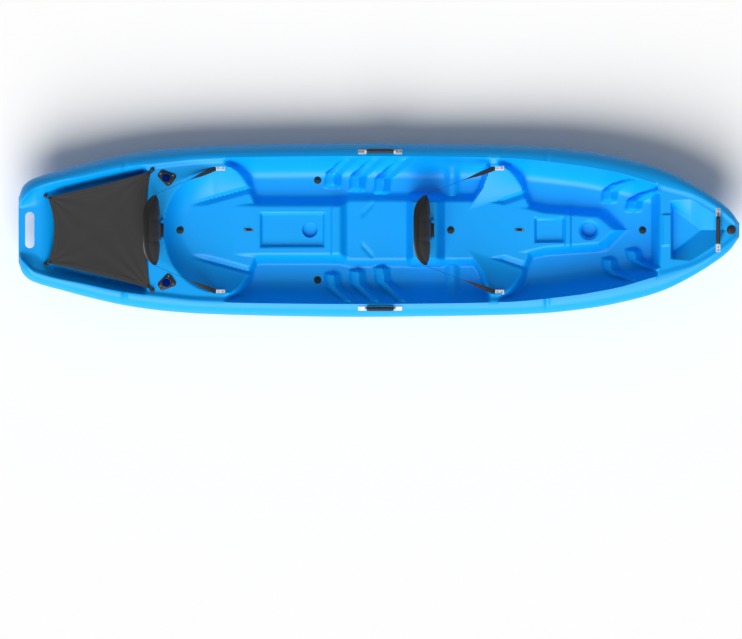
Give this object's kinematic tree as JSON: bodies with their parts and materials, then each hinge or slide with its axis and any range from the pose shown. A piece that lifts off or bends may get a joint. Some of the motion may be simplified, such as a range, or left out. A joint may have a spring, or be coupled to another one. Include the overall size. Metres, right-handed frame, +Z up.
{
  "type": "sit-on-top kayak",
  "caption": "Tandem sit-on-top kayak with folding backrests, covered tank well, rod holders, carry handles and scupper plugs.",
  "frame": {"origin": "on the ground under the keel, at mid-length on the centreline", "axes": "+X to the bow, +Y to port, +Z up"},
  "size_m": [3.7, 0.892, 0.4326],
  "materials": {
    "blue_polyethylene": "rotomoulded, satin",
    "black_rubber": "moulded",
    "black_nylon": "fine texture",
    "pad_fabric": "woven polyester over foam",
    "black_polyethylene": "satin",
    "black_webbing": "woven polypropylene",
    "grey_nylon": "satin",
    "stainless_steel": "satin",
    "grip_rubber": "ribbed",
    "cover_fabric": "close woven",
    "elastic_cord": "braided"
  },
  "bodies": {
    "hull": {"deck_stern": "blue_polyethylene", "deck_tank": "blue_polyethylene", "deck_rear_seat": "blue_polyethylene", "deck_rear_wells": "blue_polyethylene", "deck_middle_seat": "blue_polyethylene", "deck_saddle": "blue_polyethylene", "deck_front_seat": "blue_polyethylene", "deck_front_wells": "blue_polyethylene", "deck_toe_wells": "blue_polyethylene", "deck_bow": "blue_polyethylene", "hull_shell": "blue_polyethylene", "scupper_tubes": "blue_polyethylene", "slot_liner": "blue_polyethylene", "drain_collar": "black_nylon", "hinge_lugs_rear": "blue_polyethylene", "hinge_pin_rear": "stainless_steel", "strap_rear_port": "black_webbing", "strap_rear_starboard": "black_webbing", "hinge_lugs_front": "blue_polyethylene", "hinge_pin_front": "stainless_steel", "strap_front_port": "black_webbing", "strap_front_starboard": "black_webbing", "strap_anchors": "grey_nylon", "anchor_screws": "stainless_steel", "rod_holder_port": "black_nylon", "rod_holder_starboard": "black_nylon", "rod_holder_screws": "stainless_steel", "handle_plates_port": "grey_nylon", "handle_plates_starboard": "grey_nylon", "handle_plates_bow": "grey_nylon", "handle_screws": "stainless_steel", "tank_cover": "cover_fabric", "cover_knobs": "black_nylon", "cover_loops": "elastic_cord", "seat_eyes": "black_nylon", "eye_screws": "stainless_steel"},
    "backrest_rear": {"backrest_rear": "black_polyethylene", "backrest_pad_rear": "pad_fabric"},
    "backrest_front": {"backrest_front": "black_polyethylene", "backrest_pad_front": "pad_fabric"},
    "handle_port": {"handle_port": "grip_rubber"},
    "handle_starboard": {"handle_starboard": "grip_rubber"},
    "handle_bow": {"handle_bow": "grip_rubber"},
    "drain_bung": {"drain_bung": "black_nylon"},
    "plug_seat_rear": {"plug_seat_rear": "black_rubber"},
    "plug_seat_front": {"plug_seat_front": "black_rubber"},
    "plug_bow": {"plug_bow": "black_rubber"},
    "plug_well_port": {"plug_well_port": "black_rubber"},
    "plug_well_starboard": {"plug_well_starboard": "black_rubber"}
  },
  "joints": [
    {"name": "backrest_rear_fold", "type": "hinge", "parent": "hull", "child": "backrest_rear", "pos_m": [-1.114, 0, 0.25659], "axis": [0, 1, 0], "range_deg": [0, 80]},
    {"name": "backrest_front_fold", "type": "hinge", "parent": "hull", "child": "backrest_front", "pos_m": [0.274, 0, 0.2519], "axis": [0, 1, 0], "range_deg": [0, 80]},
    {"name": "handle_port_swing", "type": "hinge", "parent": "hull", "child": "handle_port", "pos_m": [0.006, 0.40569, 0.25309], "axis": [1, 0, 0], "range_deg": [-88, 32]},
    {"name": "handle_starboard_swing", "type": "hinge", "parent": "hull", "child": "handle_starboard", "pos_m": [0.006, -0.40569, 0.25309], "axis": [1, 0, 0], "range_deg": [-32, 88]},
    {"name": "handle_bow_swing", "type": "hinge", "parent": "hull", "child": "handle_bow", "pos_m": [1.741, 0, 0.34557], "axis": [0, 1, 0], "range_deg": [-60, 60]},
    {"name": "drain_bung_pull", "type": "slide", "parent": "hull", "child": "drain_bung", "axis": [0, 0, 1], "range_m": [0, 0.03]},
    {"name": "plug_seat_rear_pull", "type": "slide", "parent": "hull", "child": "plug_seat_rear", "axis": [0, 0, 1], "range_m": [0, 0.05]},
    {"name": "plug_seat_front_pull", "type": "slide", "parent": "hull", "child": "plug_seat_front", "axis": [0, 0, 1], "range_m": [0, 0.05]},
    {"name": "plug_bow_pull", "type": "slide", "parent": "hull", "child": "plug_bow", "axis": [0, 0, 1], "range_m": [0, 0.05]},
    {"name": "plug_well_port_pull", "type": "slide", "parent": "hull", "child": "plug_well_port", "axis": [0, 0, 1], "range_m": [0, 0.05]},
    {"name": "plug_well_starboard_pull", "type": "slide", "parent": "hull", "child": "plug_well_starboard", "axis": [0, 0, 1], "range_m": [0, 0.05]}
  ]
}
